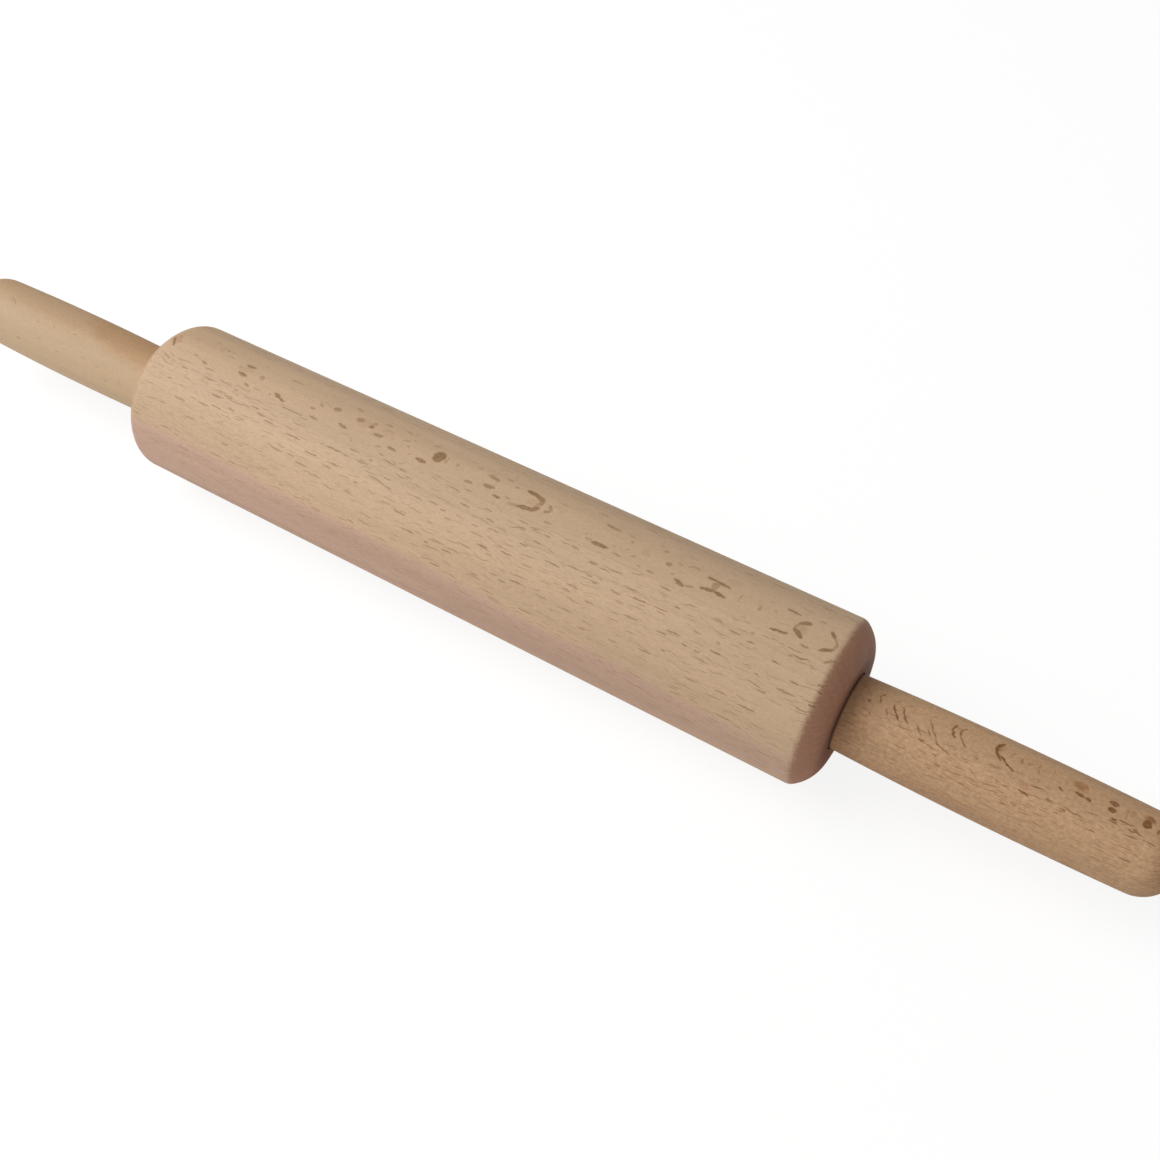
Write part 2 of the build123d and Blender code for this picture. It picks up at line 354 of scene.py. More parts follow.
# Thin dashes along the grain, where the face cuts across the rays: place along X in mm, angle,
# length in mm and depth of colour. All are equally wide.
BARREL_DASHES = (
    (-90.8, 25.5, 4, 0.75), (-86.6, 22.3, 4, 0.75), (-79.6, 22.4, 3, 0.62),
    (-76, 21, 3.5, 0.75), (-72.8, 24, 3.5, 0.85), (-69, 26.4, 4, 0.81),
    (-83.3, 29.6, 3, 0.62), (-79, 32.3, 3.5, 0.62), (-58.8, 28, 6.5, 0.81),
    (-109.7, 27.7, 2, 0.56), (-93.5, 34.5, 4.5, 0.62), (-103, 38, 5, 0.5),
    (-98, 33.5, 3, 0.5), (-44, 24, 6.5, 0.81), (-50.5, 33.5, 5, 0.81),
    (-41.2, 33.3, 3.5, 0.62), (-62, 41, 5, 0.62), (-56.5, 40.3, 3, 0.56),
    (-52, 43, 5, 0.62), (-46, 46, 4.5, 0.56), (-43, 37, 2.5, 0.5),
    (-84.6, 40.6, 1.6, 0.5), (-108, 45.8, 3, 0.44), (-75, 49.6, 1.6, 0.5),
    (-81, 54, 3, 0.5), (-118, 62, 3.5, 0.5), (-105, 62, 5, 0.56),
    (-100.5, 64, 2.5, 0.5), (-84, 64.5, 4, 0.44), (-77, 64.3, 3.5, 0.56),
    (-72, 63.2, 4, 0.44), (-57, 63, 2, 0.44), (-47, 64.5, 4, 0.44),
    (-38, 18.7, 3.5, 0.62), (-31, 20, 1.6, 0.69), (-33.5, 23, 2, 0.5),
    (-39.3, 24.5, 2, 0.62), (-23, 26.8, 2.5, 0.62), (-27, 30, 5, 0.56),
    (-21.3, 32, 3, 0.62), (-32, 38, 1.6, 0.5), (-20.2, 17, 2.5, 0.75),
    (-17.2, 20, 2.2, 0.62), (-11, 29.6, 3.5, 0.62), (-5.5, 28, 3.5, 0.69),
    (-1.8, 29.6, 2, 0.69), (1, 33.6, 3, 0.5), (3.8, 20.5, 4, 0.69),
    (12.8, 22.3, 3, 0.69), (9.5, 30, 2.5, 0.5), (11.5, 34.5, 5, 0.5),
    (15.5, 27.5, 4, 0.5), (26, 27.5, 3, 0.69), (22.5, 18, 3.5, 0.69),
    (29.3, 22.6, 3, 0.62), (36.5, 30.8, 5, 0.69), (42.5, 27.3, 4, 0.69),
    (22.2, 37.7, 4, 0.69), (14.5, 39.8, 3.5, 0.62), (29.5, 39, 4, 0.5),
    (17.5, 43, 2.5, 0.44), (9, 44.6, 4.5, 0.56), (-14.5, 43.7, 5, 0.62),
    (-20, 41.8, 4, 0.44), (-4, 41, 2.5, 0.44), (-33.5, 46, 3, 0.5),
    (0.5, 50.3, 5, 0.5), (-10, 52.5, 5, 0.69), (-3, 54, 1.6, 0.62),
    (4.3, 53.5, 4, 0.62), (28, 47.6, 5, 0.56), (28, 51.8, 4, 0.62),
    (21, 53.5, 3, 0.5), (24, 55.3, 3, 0.56), (15, 59.5, 2.5, 0.56),
    (-30, 64.5, 2.5, 0.62), (1.5, 66.2, 4, 0.62), (20, 67, 6, 0.5),
    (33.5, 67.7, 5, 0.62), (46.8, 19.5, 2.4, 0.62), (50.8, 20, 2.2, 0.69),
    (60, 24, 3.5, 0.62), (48, 27.5, 2.2, 0.62), (50, 30, 2.5, 0.62),
    (57, 30, 3.5, 0.62), (64.8, 28, 5.5, 0.69), (71.5, 29.6, 3, 0.5),
    (75, 22, 2.2, 0.75), (92, 21, 4, 0.69), (97.5, 22.3, 2.5, 0.62),
    (105.8, 26.8, 2.4, 0.69), (83, 30.8, 3, 0.5), (89.5, 31, 1.6, 0.62),
    (44.8, 38.2, 4.5, 0.62), (77, 37.2, 4.5, 0.69), (81.3, 41, 2, 0.69),
    (85, 41.5, 2, 0.62), (90, 37, 3.5, 0.75), (64, 40.3, 5, 0.56),
    (74, 40.4, 3.5, 0.56), (43.5, 41.8, 3, 0.56), (51, 43, 2.5, 0.5),
    (102.5, 38, 1.6, 0.62), (112.5, 33.2, 3, 0.75), (111.5, 40.3, 6, 0.75),
    (117, 46, 3.5, 0.62), (105.5, 46.3, 3, 0.62), (87, 45.3, 6, 0.5),
    (95.5, 58.2, 4, 0.62), (103.5, 60, 5.5, 0.69), (86.5, 59.4, 4.5, 0.56),
    (76.5, 50, 2, 0.5), (71.5, 55.6, 4, 0.62), (61.5, 59, 3, 0.5),
    (51.5, 60.8, 2.5, 0.5), (82, 70.4, 4, 0.44), (98, 73.5, 6, 0.56),
    (89, 72.5, 3, 0.44), (119, 28, 1.8, 0.85), (119.6, 32, 1.4, 0.85),
    (119.2, 41, 2, 0.85),
)
DASH_WIDTH = 0.5

# Redder and browner wood round the barrel's flecks and at its left rim, in the first form. The
# broad last one is painted shade over the top back of the left end.
BARREL_STAINS_AND_SHADE = (
    (-118, -3, 4.5, 4.5, 0, 0.8), (-88.2, -4, 5, 2.4, 0, 0.5),
    (-41, -5, 8, 3, 0, 0.4), (-33, -6, 5, 3, 0, 0.35),
    (20.5, -3, 4, 3.4, 0, 0.45), (107.6, 0, 3, 3.6, 0, 0.6),
    # Painted shade: broad darkening of the top back of the left end
    (-122, -30, 80, 24, 0, 0.3),
)

# The right handle's flecks and its nested crescents, in the same forms.
RIGHT_HANDLE_FLECKS = (
    (130.2, 8.3, 1, 0.8, 40, 0.72), (171.8, -5.5, 0.7, 1.8, 0, 0.59),
    (173.8, -6, 1.4, 1, 0, 0.39), (179, -9, 0.5, 2, 0, 0.26),
    (183, 7.2, 1.6, 0.9, 25, 0.78), (183.8, -5.5, 0.5, 1.5, 0, 0.33),
    (187.8, 3, 2.8, 1.1, 8, 0.95), (190, 3.7, 1.6, 1.1, 0, 0.85),
    (196.1, -7.8, 2.4, 1.7, 0, 0.85), (196, 3, 2.2, 1.6, 0, 0.95),
    (199.7, -2, 0.8, 3.5, 0, 0.29), (201, -4.5, 1.4, 2.5, 0, 0.23),
    (204.9, -0.9, 2.4, 2.8, 0, 0.95), (205.3, -11, 2.2, 1.8, 0, 0.45),
    (207.9, 2.5, 0.8, 1.8, 0, 0.72), (197.3, 13.6, 1.8, 0.8, -8, 0.85),
    (200.3, 11, 4, 0.5, -3, 0.72), (202.8, 14.5, 1.4, 0.7, 0, 0.65),
    (146.8, 27.4, 1.6, 0.6, 12, 0.72), (149.5, 30, 2, 0.5, 20, 0.65),
    (151.5, 37, 1.4, 0.5, 10, 0.65), (159.8, 28.3, 1.4, 0.5, 0, 0.59),
    (161.4, 18.2, 1.2, 0.5, 0, 0.59), (162, 36.6, 1.6, 0.4, 10, 0.52),
    (168.3, 33, 1.4, 0.5, 12, 0.52), (170.7, 34.3, 2, 0.5, 0, 0.65),
    (175.3, 32.4, 3, 0.6, 8, 0.91), (181.5, 27.4, 2, 0.6, 12, 0.78),
    (185.5, 30, 1.8, 0.5, 6, 0.72), (184.3, 37.5, 1.4, 0.5, -8, 0.59),
    (193.8, 38.2, 1.6, 0.5, 4, 0.65), (189.3, 27.4, 1.6, 0.4, 0, 0.45),
    (191.5, 19.8, 2.4, 0.4, 0, 0.52), (203.3, 53.6, 3, 0.5, -2, 0.65),
    (195.3, 51.3, 2, 0.4, 4, 0.45), (198, 40, 1.6, 0.4, 8, 0.39),
    (171.8, 55.9, 2, 0.5, 0, 0.59), (160.5, 55.9, 2.2, 0.4, 0, 0.52),
    (153.3, 48.5, 1.8, 0.5, 0, 0.59), (156.3, 48, 2, 0.4, -8, 0.52),
    (158.8, 46.7, 2.4, 0.4, 5, 0.52), (151.5, 55.9, 1.2, 0.5, 20, 0.52),
    (171.5, 46.7, 1.6, 0.4, 0, 0.52), (174.3, 49.7, 1.6, 0.5, 8, 0.52),
    (177.8, 42.8, 2, 0.4, 0, 0.52), (166, 42.8, 2, 0.4, 6, 0.45),
    (163.8, 49.7, 2, 0.4, 0, 0.45), (132, 25, 1.2, 0.5, 40, 0.52),
)
RIGHT_HANDLE_STROKES = (
    (0.6, 0.65, (133.4, -13.5), (132.4, -5.5), (133.1, 4.9)),
    (0.4, 0.39, (138, -15.8), (136.6, -6.6)),
    (0.7, 0.91, (136.6, -1.5), (137.8, 8.3), (139.3, 16.3)),
    (0.4, 0.39, (141, -14.7), (139.1, -4.3)),
    (0.6, 0.85, (139.1, -4.4), (140.2, 7.2), (141.6, 15.2)),
    (0.5, 0.65, (135.2, 9.5), (136.3, 16.8)),
    (0.5, 0.78, (144.3, 12.4), (146.1, 21.4)),
    (0.4, 0.39, (148, -15.8), (146.8, -7.8), (147, 0)),
    (0.5, 0.78, (147.2, -1), (148.3, 8.3), (150, 16.2)),
    (0.5, 0.59, (147.4, 10.4), (148.4, 17.8)),
    (0.8, 0.85, (153.3, -14), (152.8, -5.5), (154, 5.4)),
    (0.5, 0.78, (155.9, -15.5), (154.9, -7.8), (155.3, 0.6)),
    (0.5, 0.78, (155.3, 0.3), (157.6, 11.6)),
    (1, 0.95, (166.1, -19.8), (164.9, -8.4)),
    (1.1, 0.95, (164.9, -8.8), (165.3, -0.4)),
    (1, 0.95, (165.2, -1.6), (166.5, 5.6)),
    (0.6, 0.95, (166.6, 1), (168.3, 7.2), (170.8, 13.2)),
    (0.4, 0.39, (169.4, -13.5), (169, -4.3)),
    (0.5, 0.52, (176.6, -13), (176.2, -7), (176.8, 0.4)),
    (0.5, 0.72, (150.2, 21.6), (152.2, 25.4), (154.8, 28.6)),
)
RIGHT_HANDLE_STAINS = (
    (187.2, -10, 4, 3.4, 0, 0.9), (205.2, -10, 3.4, 2.8, 0, 0.9),
    (165.6, -10, 2.6, 3.6, 0, 0.6), (174.5, 24, 4, 2, 10, 0.4),
)
LEFT_HANDLE_FLECKS = (
    (-188, 69, 2, 0.8, 0, 0.35), (-181, 29, 1.5, 0.5, 0, 0.3),
    (-164.3, 22, 1.3, 0.5, 0, 0.35), (-173.6, 25, 1.8, 0.4, 25, 0.3),
    (-178, 53, 2, 0.4, 0, 0.3), (-140, 62, 0.6, 1.6, 0, 0.35),
    (-150.5, 54, 2, 0.4, 0, 0.3), (-146, 71, 1.6, 0.5, -10, 0.3),
    (-157, 50, 1.8, 0.4, -10, 0.25), (-169, 60, 1.6, 0.4, -10, 0.3),
)
LEFT_HANDLE_STROKES = (
    (0.5, 0.4, (-197.6, 7.2), (-194, 17.5)),
    (0.4, 0.3, (-198, 10.5), (-195.4, 18.5)),
)
LEFT_HANDLE_STAINS_AND_SHADE = (
    (-137, -25, 68, 23.5, 0, 0.6), (-156, -14, 16, 10, 55, 0.62),
    # Painted shade: broad darkening along the top back side of the whole handle
    (-170, -32, 110, 26, 0, 0.3),
)


def spread(strokes, radius):
    """Turns bent flecks into rows of straight ones, each from one place to the next."""
    rows = []
    for width, depth, *places in strokes:
        for (x0, a0), (x1, a1) in zip(places, places[1:]):
            along, round_ = x1 - x0, math.radians(a1 - a0) * radius
            rows.append((
                (x0 + x1) / 2, (a0 + a1) / 2, math.hypot(along, round_) + width, width,
                math.degrees(math.atan2(round_, along)), depth))
    return tuple(rows)


# How each piece was cut from its log, in mm and degrees. The pith lies "pith" from the axis,
# towards "heart_angle", and rings are about "ring" apart. A pinker tint, painted light for the
# lower front side, starts "lead" beyond the axis, moves out by "bend" over "bend_over" from
# "bend_from", and is full its given reach further. Flecks take the place of dashes between the
# angles "quiet". End grain starts at "end" from the middle and is full "end_over" further.
# "rays_by" makes the rays finer. The depths are shares of full colour: "left_end" and "right_end"
# for the end grain, where the barrel's deeper right end is painted shade; "neck" for painted shade
# on the neck; "speckle"; and the depths of the painted tint, of the painted shade in the recess and
# of the painted shadow in the gap round the neck.
BARREL_CUT = {
    "radius": 25.5, "pith": 90.0, "heart_angle": -94.0, "ring": 2.7, "lead": 22.2, "bend": 1.7,
    "bend_from": -120.0, "bend_over": 240.0, "end": 118.8, "end_over": 2.0, "left_end": 0.4,
    "right_end": 1.0, "quiet": (-24, 11), "seed": 0.0, "ring_depth": 0.10, "ray_depth": 1.1,
    "lower_tint_reach": 1.8, "lower_tint_depth": 1.0, "rays_by": 1.0, "neck": 0.0, "fibre_depth": 0.075,
    "speckle": 0.02, "recess_shade": 0.8, "gap_shadow": 0.0,
}
RIGHT_CUT = {
    "radius": 12.0, "pith": 70.0, "heart_angle": -96.0, "ring": 2.2, "lead": 10.6, "bend": 0.6,
    "bend_from": 126.0, "bend_over": 90.0, "end": 207.0, "end_over": 9.0, "left_end": 0.35,
    "right_end": 0.35, "quiet": (-24, 13), "seed": 37.0, "ring_depth": 0.08, "ray_depth": 1.05,
    "lower_tint_reach": 2.0, "lower_tint_depth": 0.8, "rays_by": 0.62, "neck": 0.72, "fibre_depth": 0.10,
    "speckle": 0.09, "recess_shade": 0.0, "gap_shadow": 0.85,
}
LEFT_CUT = {
    "radius": 12.0, "pith": 70.0, "heart_angle": 84.0, "ring": 3.4, "lead": 3.6, "bend": 7.0,
    "bend_from": -176.0, "bend_over": 60.0, "end": 207.0, "end_over": 9.0, "left_end": 0.35,
    "right_end": 0.35, "quiet": (-180, 180), "seed": 81.0, "ring_depth": 0.05, "ray_depth": 0.5,
    "lower_tint_reach": 2.4, "lower_tint_depth": 0.0, "rays_by": 0.6, "neck": 0.0, "fibre_depth": 0.065,
    "speckle": 0.012, "recess_shade": 0.0, "gap_shadow": 0.85,
}


# Patterns of the wood: how often they repeat in a mm along the log, round it and out from the
# pith, and how far the first two push the grain, in mm
WAVE_SCALE, WAVE_REACH = (0.011, 0.05, 0.05), (0.0, 1.6, 1.6)
RIPPLE_SCALE, RIPPLE_REACH = (0.2, 0.1, 0.1), (0.0, 1.5, 0.6)
TONE_SCALE, FIBRE_SCALE = (0.012, 0.16, 0.16), (0.8, 2.6, 2.6)
# Rays in three sizes: spacing and half size in mm, in the same directions, and depth of colour
RAY_SHEETS = (
    ((8.0, 1.5, 3.5), (2.6, 0.085, 1.5), 0.75),
    ((6.0, 1.1, 3.0), (1.8, 0.070, 1.2), 0.6),
    ((4.0, 0.8, 2.4), (1.1, 0.065, 0.9), 0.45))
# How far all flecks and stains move along X, in mm, and round it, in radians
MARK_SHIFT_ALONG, MARK_SHIFT_ROUND = 0.3, 0.007
# How far their edges fray, in mm, and where a blot ends and is full, as shares of its size
FRAY = (1.2, 0.8, 0.0)
FLECK_EDGE, STAIN_EDGE = (1.16, 0.80), (1.2, 0.6)
# Share of its colour that a blot shows where most and least worn, and the swing of the noise
WORN_MOST, WORN_LEAST, WORN_NOISE = 0.72, 1.12, 0.22
# Added to a noise of 0 to 1, so that it pushes both ways
BOTH_WAYS = (-0.5, -0.5, -0.5)
# Late wood starts, is full and begins to fade at these shares of a ring, and the faintest
# year has this share of the strongest
LATE_START, LATE_FULL, LATE_FADE, FAINTEST_YEAR = 0.45, 0.97, 0.96, 0.3
# A ray ends and is full at these shares of its half size, and the faintest has this share of
# the depth of colour. The last number sets the three sizes apart.
RAY_END, RAY_FULL, FAINTEST_RAY, SHEETS_APART = 1.3, 0.7, 0.1, 17
# Where flecks take the place of dashes: share of the dashes that stays, and in mm how softly
# the two edges fade
DASHES_LEFT, LOW_FADE, HIGH_FADE = 0.2, 2.0, 0.6
# Shade at the darkest and lightest of the slow tone, which lie at these values of the noise
TONE_DARK, TONE_LIGHT, NOISE_LOW, NOISE_HIGH = 0.94, 1.05, 0.3, 0.7
# Swing of the noise at which a speckle is full
SPECKLE_NOISE = 0.15
# Roughness of the wood and of its rays, and the fibres' relief and height
WOOD_ROUGHNESS, RAY_ROUGHNESS, RELIEF, RELIEF_HEIGHT = 0.66, 0.5, 0.35, 0.08 * MM
# Darker end grain and painted shade: what each multiplies the colour by, and where it starts and is
# full, in mm from the middle of the pin, or for the shade in the recess from its axis. The end
# grain's tone also paints shade on the barrel's right end; the others are painted shade in the
# recess and on the neck, and a painted shadow in the gap round the neck. The edge of the end grain
# frays, in mm.
END_GRAIN_AND_SHADE_TONE, END_GRAIN_FRAY = (0.71, 0.50, 0.48, 1.0), 2.2
RECESS_SHADE_TONE, RECESS_SHADE_START, RECESS_SHADE_FULL = (0.45, 0.36, 0.34, 1.0), 22.0, 12.5
NECK_SHADE_TONE, NECK_SHADE_START, NECK_SHADE_FULL = (0.76, 0.64, 0.55, 1.0), 138.0, 125.0
GAP_SHADOW_TONE, GAP_SHADOW_START, GAP_SHADOW_FULL = (0.20, 0.13, 0.13, 1.0), 125.9, 125.3


def blots(node, unrolled, ragged, rows, radius, edge):
    """Draws rows of blots with worn patches on an unrolled face."""
    outer, inner = edge
    worn = node("SeparateXYZ", {0: ragged})
    worn = node("MapRange", {"Value": worn.outputs["Z"], "From Min": -WORN_NOISE,
                             "From Max": WORN_NOISE, "To Min": WORN_MOST, "To Max": WORN_LEAST})
    drawn = None
    for x, degrees, length, width, lean, weight in rows:
        spot = node("Mapping", {
            "Vector": unrolled, "Location": (x, math.radians(degrees) * radius, 0.0),
            "Rotation": (0.0, 0.0, math.radians(lean)),
            "Scale": (outer * length / 2, outer * width / 2, 1.0)}, vector_type="TEXTURE")
        near = node("TexGradient", {"Vector": spot}, gradient_type="SPHERICAL")
        # A smooth step stays in range by itself, and without a clamp the chain stays short
        blot = node("MapRange", {"Value": near.outputs["Fac"], "From Max": 1 - inner / outer,
                                 "To Max": weight}, interpolation_type="SMOOTHSTEP", clamp=False)
        drawn = node("Math", {0: drawn, 1: blot}, operation="MAXIMUM") if drawn else blot
    return node("Math", {0: drawn, 1: worn}, operation="MULTIPLY")


def beech(name, cut, flecks, stains_and_shade, wood, lower_side_tint, stain_and_shade, ray):
    """Beech, turned, sanded and left bare: pale tan with faint rings, and a painted tint of light
    that makes the lower front side pinker. Rays show as short dark dashes where the face cuts
    across them and as flecks where they lie in it. The surface is matt, with a soft sheen at a low
    angle and fibres just felt."""
    material, node = new_material(name)
    scalar, vector = sums(node, "Math"), sums(node, "VectorMath")
    step = functools.partial(node, "MapRange", interpolation_type="SMOOTHSTEP")
    place = node("TexCoord").outputs["Object"]
    seed = cut["seed"]

    # Millimetres from the heart, with the heart turned to +Y
    turned = node("Mapping", {
        "Vector": place, "Scale": (PER_MM, PER_MM, PER_MM),
        "Rotation": (math.radians(cut["heart_angle"] + 90.0), 0.0, 0.0),
        "Location": (0.0, -cut["pith"], 0.0)})
    # Slow waves that keep the rings and the grain from being quite straight
    slow = vector("MULTIPLY", turned, WAVE_SCALE)
    slow = vector("ADD", slow, (seed, seed, 0.0))
    waves = node("TexNoise", {"Vector": slow, "Scale": 1.0, "Detail": 2.0})
    waves = vector("ADD", waves.outputs["Color"], BOTH_WAYS)
    waves = vector("MULTIPLY", waves, WAVE_REACH)
    wavy = vector("ADD", turned, waves)
    parts = node("SeparateXYZ", {0: wavy})
    flat = vector("MULTIPLY", wavy, (0.0, 1.0, 1.0))
    depth = vector("LENGTH", flat).outputs["Value"]
    back = scalar("MULTIPLY", parts.outputs["Y"], -1.0)
    swing = scalar("ARCTAN2", parts.outputs["Z"], back)
    aside = scalar("MULTIPLY", swing, cut["pith"])
    log = node("CombineXYZ", {"X": parts.outputs["X"], "Y": aside, "Z": depth})

    # Growth rings, with the log's slight bend along the piece
    along = node("MapRange", {
        "Value": parts.outputs["X"], "From Min": cut["bend_from"],
        "From Max": cut["bend_from"] + cut["bend_over"]})
    bend = scalar("MULTIPLY_ADD", along, cut["bend"], cut["pith"] + cut["lead"])
    beyond = scalar("SUBTRACT", depth, bend)
    count = scalar("DIVIDE", beyond, cut["ring"])
    within = scalar("FRACT", count)
    year = scalar("FLOOR", count)
    strength = node("TexWhiteNoise", {"W": year}, noise_dimensions="1D")
    late = step({"Value": within, "From Min": LATE_START, "From Max": LATE_FULL})
    early = step({"Value": within, "From Min": 1.0, "From Max": LATE_FADE})
    late = scalar("MULTIPLY", late, early)
    strength = node("MapRange", {"Value": strength.outputs["Value"], "To Min": FAINTEST_YEAR})
    late = scalar("MULTIPLY", late, strength)

    # Tone that changes slowly across the board
    broad = vector("MULTIPLY", log, TONE_SCALE)
    tone = node("TexNoise", {"Vector": broad, "Scale": 1.0, "Detail": 3.0, "Roughness": 0.55})

    # Rays: thin sheets that lie in the log's radius, 2 to 5 mm along the grain. The face cuts
    # them aslant, so they show as wavy dashes 0.2 to 0.5 mm thick.
    grain = vector("MULTIPLY", turned, RIPPLE_SCALE)
    ripple = node("TexNoise", {"Vector": grain, "Scale": 1.0, "Detail": 3.0})
    ripple = vector("ADD", ripple.outputs["Color"], BOTH_WAYS)
    ripple = vector("MULTIPLY", ripple, RIPPLE_REACH)
    rippled = vector("ADD", log, ripple)
    rays = None
    for cell, half, weight in RAY_SHEETS:
        scale = tuple(cut["rays_by"] * c for c in cell)
        half = tuple(cut["rays_by"] ** 0.5 * h for h in half)
        cells = vector("MULTIPLY", rippled, tuple(1 / c for c in scale))
        cells = vector("ADD", cells, (seed, weight * SHEETS_APART, seed))
        nearest = node("TexVoronoi", {"Vector": cells, "Scale": 1.0, "Randomness": 1.0})
        apart = vector("SUBTRACT", cells, nearest.outputs["Position"])
        apart = vector("MULTIPLY", apart, tuple(c / h for c, h in zip(scale, half)))
        reach = vector("LENGTH", apart).outputs["Value"]
        dash = step({"Value": reach, "From Min": RAY_END, "From Max": RAY_FULL})
        chance = node("SeparateColor", {0: nearest.outputs["Color"]})
        chance = node("MapRange", {"Value": chance.outputs["Red"], "To Min": FAINTEST_RAY * weight,
                                   "To Max": weight})
        dash = scalar("MULTIPLY", dash, chance)
        rays = scalar("MAXIMUM", rays, dash) if rays else dash

    # The face unrolled: millimetres along X and round it, with ragged edges for the flecks
    face = node("SeparateXYZ", {0: place})
    front = scalar("MULTIPLY", face.outputs["Y"], -1.0)
    angle = scalar("ARCTAN2", front, face.outputs["Z"])
    round_ = scalar("MULTIPLY", angle, cut["radius"])
    along = scalar("MULTIPLY", face.outputs["X"], PER_MM)
    unrolled = node("CombineXYZ", {"X": along, "Y": round_})
    unrolled = vector("ADD", unrolled, (-MARK_SHIFT_ALONG, -MARK_SHIFT_ROUND * cut["radius"], 0.0))
    ragged = node("TexNoise", {"Vector": place, "Scale": PER_MM, "Detail": 3.0})
    ragged = vector("ADD", ragged.outputs["Color"], BOTH_WAYS)
    edges = vector("MULTIPLY", ragged, FRAY)
    unrolled = vector("ADD", unrolled, edges)
    marks = blots(node, unrolled, ragged, flecks, cut["radius"], FLECK_EDGE)
    # The stains carry painted shade too, in their broad patches on the top back of the barrel's
    # left end and of the left handle
    stained_and_shaded = blots(node, unrolled, ragged, stains_and_shade, cut["radius"], STAIN_EDGE)
    # Where the rays turn flat in the face, the flecks take the place of the dashes
    low, high = (math.radians(a) * cut["radius"] for a in cut["quiet"])
    above = step({"Value": round_, "From Min": low - LOW_FADE, "From Max": low})
    below = step({"Value": round_, "From Min": high + HIGH_FADE, "From Max": high - HIGH_FADE})
    flat_here = scalar("MULTIPLY", above, below)
    loud = node("MapRange", {"Value": flat_here, "To Min": 1.0, "To Max": DASHES_LEFT})
    rays = scalar("MULTIPLY", rays, loud)

    # Fibres, in truth 0.02 mm thick, drawn 0.4 mm wide so that they show
    fine = vector("MULTIPLY", log, FIBRE_SCALE)
    fibre = node("TexNoise", {"Vector": fine, "Scale": 1.0, "Detail": 3.0, "Roughness": 0.6})
    # Painted light: a pinker tint over the lower front side, laid on in the log's frame
    lower_tint_here = step({
        "Value": beyond, "From Max": cut["lower_tint_reach"], "To Max": cut["lower_tint_depth"]})
    base = node("Mix", {0: lower_tint_here, 6: (*wood, 1.0), 7: (*lower_side_tint, 1.0)}, data_type="RGBA")
    base = node("Mix", {0: stained_and_shaded, 6: base, 7: (*stain_and_shade, 1.0)}, data_type="RGBA")
    shade = node("MapRange", {"Value": tone.outputs[0], "From Min": NOISE_LOW,
                              "From Max": NOISE_HIGH, "To Min": TONE_DARK, "To Max": TONE_LIGHT})
    fibres = node("MapRange", {"Value": fibre.outputs[0], "From Min": NOISE_LOW,
                               "From Max": NOISE_HIGH, "To Min": 1.0 - cut["fibre_depth"],
                               "To Max": 1.0 + cut["fibre_depth"]})
    late = scalar("MULTIPLY", late, loud)
    rings = scalar("MULTIPLY_ADD", late, -cut["ring_depth"], 1.0)
    # Pores and torn fibres speckle the face
    torn = node("SeparateXYZ", {0: ragged})
    speckle = node("MapRange", {
        "Value": torn.outputs["X"], "From Min": -SPECKLE_NOISE, "From Max": SPECKLE_NOISE,
        "To Min": 1.0 - cut["speckle"], "To Max": 1.0 + cut["speckle"]})
    for part in (fibres, rings, speckle):
        shade = scalar("MULTIPLY", shade, part)
    base = node("VectorMath", {0: base, "Scale": shade}, operation="SCALE")
    dashes = scalar("MULTIPLY", rays, cut["ray_depth"])
    seen = scalar("MAXIMUM", dashes, marks)
    base = node("Mix", {0: seen, 6: base, 7: (*ray, 1.0)}, data_type="RGBA")

    # End grain is darker and redder as the face turns to the end. On the barrel it is deeper at the
    # right end than at the left: that extra depth is painted shade for the end that turns from the
    # light.
    far = scalar("ABSOLUTE", along)
    away = scalar("MULTIPLY_ADD", torn.outputs["X"], END_GRAIN_FRAY, far)
    end_grain_and_shade = step({
        "Value": away, "From Min": cut["end"], "From Max": cut["end"] + cut["end_over"]})
    end_depth = node("MapRange", {
        "Value": along, "From Min": -1.0, "From Max": 1.0,
        "To Min": cut["left_end"], "To Max": cut["right_end"]})
    end_grain_and_shade = scalar("MULTIPLY", end_grain_and_shade, end_depth)
    # Painted shade: round the recess the end face is darker still, for the shade that gathers by
    # the handle's neck
    across = vector("MULTIPLY", place, (0.0, PER_MM, PER_MM))
    across = vector("LENGTH", across).outputs["Value"]
    recess_shade = step({
        "Value": across, "From Min": RECESS_SHADE_START, "From Max": RECESS_SHADE_FULL,
        "To Max": cut["recess_shade"]})
    recess_shade = scalar("MULTIPLY", recess_shade, end_grain_and_shade)

    # Painted shade: the neck is darkened where the barrel shades it
    neck = step({
        "Value": away, "From Min": NECK_SHADE_START, "From Max": NECK_SHADE_FULL, "To Max": cut["neck"]})
    # Painted shadow: a dark ring on the neck where it enters the recess, for the shadow in the gap
    # there
    gap_shadow = step({"Value": far, "From Min": GAP_SHADOW_START, "From Max": GAP_SHADOW_FULL, "To Max": cut["gap_shadow"]})
    # Lays on the end grain with its painted shade, and the painted shade in the recess, on the neck
    # and in the gap
    for share, tone_there in ((end_grain_and_shade, END_GRAIN_AND_SHADE_TONE), (recess_shade, RECESS_SHADE_TONE),
                              (neck, NECK_SHADE_TONE), (gap_shadow, GAP_SHADOW_TONE)):
        base = node("Mix", {0: share, 6: base, 7: tone_there}, data_type="RGBA",
                    blend_type="MULTIPLY")

    rough = node("MapRange", {"Value": seen, "To Min": WOOD_ROUGHNESS, "To Max": RAY_ROUGHNESS})
    height = scalar("SUBTRACT", fibre.outputs[0], rays)
    bump = node("Bump", {"Height": height, "Strength": RELIEF, "Distance": RELIEF_HEIGHT})
    shader = node("BsdfPrincipled", {
        "Base Color": base, "Roughness": rough, "Normal": bump, "IOR": 1.5})
    node("OutputMaterial", {"Surface": shader})
    return material


# Operators

